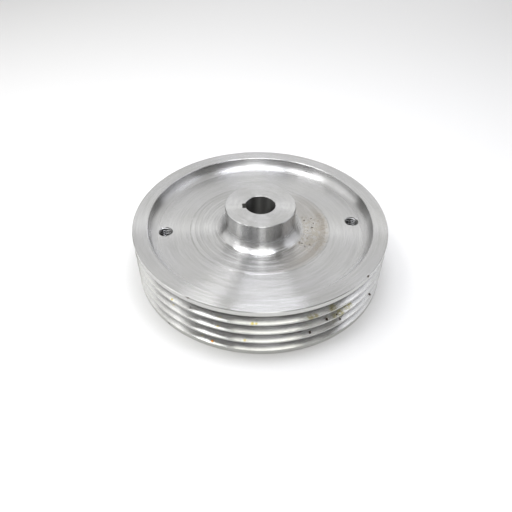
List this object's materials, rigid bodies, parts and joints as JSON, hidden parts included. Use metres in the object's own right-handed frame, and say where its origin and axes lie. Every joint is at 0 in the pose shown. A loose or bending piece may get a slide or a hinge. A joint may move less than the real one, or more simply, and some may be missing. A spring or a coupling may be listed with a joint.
{
  "type": "v-belt pulley",
  "caption": "Turned narrow V-belt pulley with a grooved rim, recessed web, tapped jack holes, and a keyed hub nose with a socket set screw over the key.",
  "frame": {"origin": "on the bore axis, in the plane of the rim's back face, which the pulley lies on", "axes": "+Z along the bore towards the hub nose; X through the two tapped jack holes, with the keyway on the -X side"},
  "size_m": [0.219, 0.219, 0.0617],
  "materials": {
    "turned_metal": "turned, with fine rings and dried oil stains",
    "set_screw_steel": "black oxide"
  },
  "bodies": {
    "sheave": {"sheave": "turned_metal"},
    "key_screw": {"key_set_screw": "set_screw_steel"}
  },
  "joints": [
    {"name": "key_screw_travel", "type": "slide", "parent": "sheave", "child": "key_screw", "axis": [1, 0, 0], "range_m": [-0.0038, 0.0016]}
  ]
}
